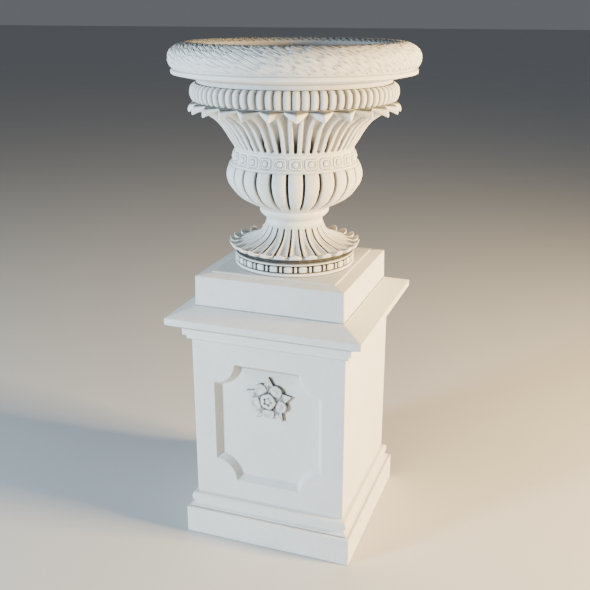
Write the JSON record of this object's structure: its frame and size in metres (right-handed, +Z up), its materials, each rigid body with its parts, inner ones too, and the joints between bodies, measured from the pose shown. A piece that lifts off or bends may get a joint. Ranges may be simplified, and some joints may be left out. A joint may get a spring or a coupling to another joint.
{
  "type": "garden urn on pedestal",
  "caption": "Wide-rimmed classical urn with fluted, leaf-tipped cup, lobed bowl and spreading foot, lifting off a square moulded pedestal with a flower panel.",
  "frame": {"origin": "centre of the plinth's underside, on the ground", "axes": "+Z up along the urn's axis; the flower panel faces -Y; +X is to the right as the panel is faced"},
  "size_m": [0.668, 0.668, 1.4044],
  "materials": {
    "stone": "matte",
    "mortar": "matte",
    "steel": "brushed",
    "brass": "satin",
    "seal": "matte"
  },
  "bodies": {
    "pedestal": {"plinth": "stone", "plinth_mortar": "mortar", "base_moulding": "stone", "base_mortar": "mortar", "die": "stone", "die_mortar": "mortar", "bed_moulding": "stone", "cornice_mortar": "mortar", "cornice": "stone", "block_mortar": "mortar", "seat_block": "stone", "rosette": "stone", "rosette_pins": "steel", "course_dowels": "steel", "locating_pins": "steel"},
    "urn": {"foot_ring": "stone", "foot_mortar": "mortar", "foot_leaves": "stone", "stem_mortar": "mortar", "stem": "stone", "knop_mortar": "mortar", "lobed_bowl": "stone", "bowl_mortar": "mortar", "girdle": "stone", "girdle_mortar": "mortar", "leaf_calyx": "stone", "calyx_mortar": "mortar", "gadroon_ring": "stone", "ring_mortar": "mortar", "neck_ring": "stone", "neck_mortar": "mortar", "rope_rim": "stone", "vessel_dowels": "steel", "drain_tube": "brass", "drain_flange": "brass", "drain_seal": "seal", "tie_washer": "steel", "tie_nut": "brass"}
  },
  "joints": [
    {"name": "urn_lift", "type": "slide", "parent": "pedestal", "child": "urn", "axis": [0, 0, 1], "range_m": [0, 0.15]}
  ]
}
